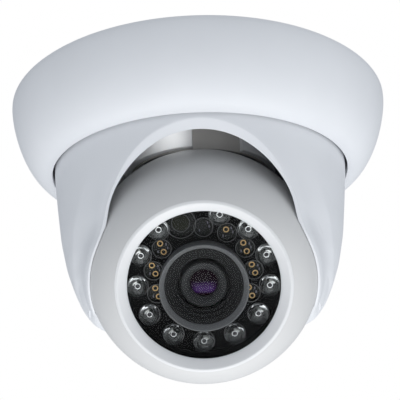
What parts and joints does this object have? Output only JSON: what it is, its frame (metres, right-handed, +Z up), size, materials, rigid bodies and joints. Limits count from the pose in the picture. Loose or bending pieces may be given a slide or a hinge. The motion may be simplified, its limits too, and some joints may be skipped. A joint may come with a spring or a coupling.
{
  "type": "dome cctv camera",
  "caption": "White infrared eyeball dome camera for a ceiling: a turret pans in a flared trim ring and holds a ball with a flat black window and infrared lamps.",
  "frame": {"origin": "centre of the round face that lies on the ceiling", "axes": "+Z up, out of the ceiling face; the camera hangs towards -Z and its lens looks towards -Y and down"},
  "size_m": [0.11, 0.11, 0.0805],
  "materials": {
    "white_shell": "satin",
    "white_inner": "matte",
    "cast_metal": "matte",
    "rubber": "matte",
    "steel": "satin",
    "glass": "clear",
    "black_mask": "matte",
    "circuit": "gloss",
    "led_epoxy": "clear",
    "shroud": "matte",
    "lens_glass": "coated",
    "black_plastic": "satin",
    "white_plug": "matte"
  },
  "bodies": {
    "base": {"mounting_base": "cast_metal", "ceiling_gasket": "rubber", "trim_ring": "white_shell", "pan_retainer": "white_inner", "hub_sleeve": "white_inner", "retainer_screw_1": "steel", "retainer_screw_2": "steel", "retainer_screw_3": "steel", "cable_grommet": "rubber", "signal_cable": "black_plastic"},
    "turret": {"turret_housing": "white_shell", "pan_washer": "rubber"},
    "yoke": {"tilt_yoke": "steel", "spindle_washer": "steel"},
    "ball": {"ball_front_shell": "white_shell", "ball_rear_shell": "white_shell", "shell_seal": "rubber", "shell_screw_1": "steel", "shell_screw_2": "steel", "shell_screw_3": "steel", "ball_spindle": "black_plastic", "bezel_ring": "white_shell", "front_glass": "glass", "glass_gasket": "rubber", "led_mask": "black_mask", "led_board": "circuit", "ir_led_01": "led_epoxy", "ir_led_02": "led_epoxy", "ir_led_03": "led_epoxy", "ir_led_04": "led_epoxy", "ir_led_05": "led_epoxy", "ir_led_06": "led_epoxy", "ir_led_07": "led_epoxy", "ir_led_08": "led_epoxy", "ir_led_09": "led_epoxy", "ir_led_10": "led_epoxy", "ir_led_11": "led_epoxy", "ir_led_12": "led_epoxy", "light_sensor": "black_plastic", "lens_shroud": "shroud", "lens_barrel": "black_plastic", "front_lens": "lens_glass", "lens_holder": "black_plastic", "ir_cut_filter": "lens_glass", "image_sensor": "black_plastic", "sensor_board": "circuit", "main_board": "circuit", "board_spacer_1": "steel", "board_spacer_2": "steel", "board_plug": "white_plug"}
  },
  "joints": [
    {"name": "pan", "type": "hinge", "parent": "base", "child": "turret", "pos_m": [0, 0, 0], "axis": [0, 0, 1], "range_deg": [-177.5, 177.5]},
    {"name": "tilt", "type": "hinge", "parent": "turret", "child": "yoke", "pos_m": [0, -0.0101, -0.0496], "axis": [1, 0, 0], "range_deg": [-9, 56]},
    {"name": "rotate", "type": "hinge", "parent": "yoke", "child": "ball", "pos_m": [0, -0.0101, -0.0496], "axis": [0, -0.829, -0.5592], "range_deg": [-177.5, 177.5]}
  ]
}
